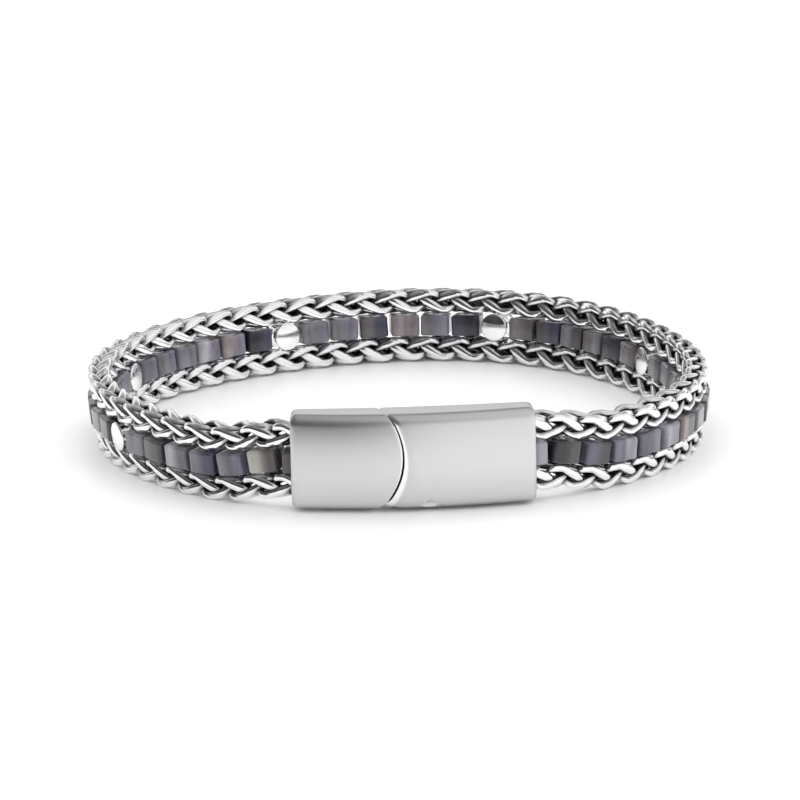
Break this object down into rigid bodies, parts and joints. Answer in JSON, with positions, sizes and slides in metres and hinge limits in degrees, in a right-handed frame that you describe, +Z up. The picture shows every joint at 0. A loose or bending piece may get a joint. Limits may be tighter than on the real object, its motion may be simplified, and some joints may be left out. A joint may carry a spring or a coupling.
{
  "type": "beaded bracelet",
  "caption": "Closed bracelet of woven steel chains with a row of grey banded stone cubes and steel discs between them, joined by a wide bent clasp in halves.",
  "frame": {"origin": "centre of the wrist opening, on the plane that the bracelet lies on", "axes": "+Z up out of the wrist opening, -Y towards the front with the clasp, +X to the clasp's right half"},
  "size_m": [0.0743, 0.0752, 0.0114],
  "materials": {
    "satin_steel": "satin",
    "polished_steel": "polished",
    "banded_stone": "gloss"
  },
  "bodies": {
    "root": {"clasp_left": "satin_steel", "clasp_right": "satin_steel", "upper_chain": "polished_steel", "lower_chain": "polished_steel", "bead_pins": "polished_steel", "stone_beads": "banded_stone", "steel_discs": "polished_steel"}
  },
  "joints": []
}
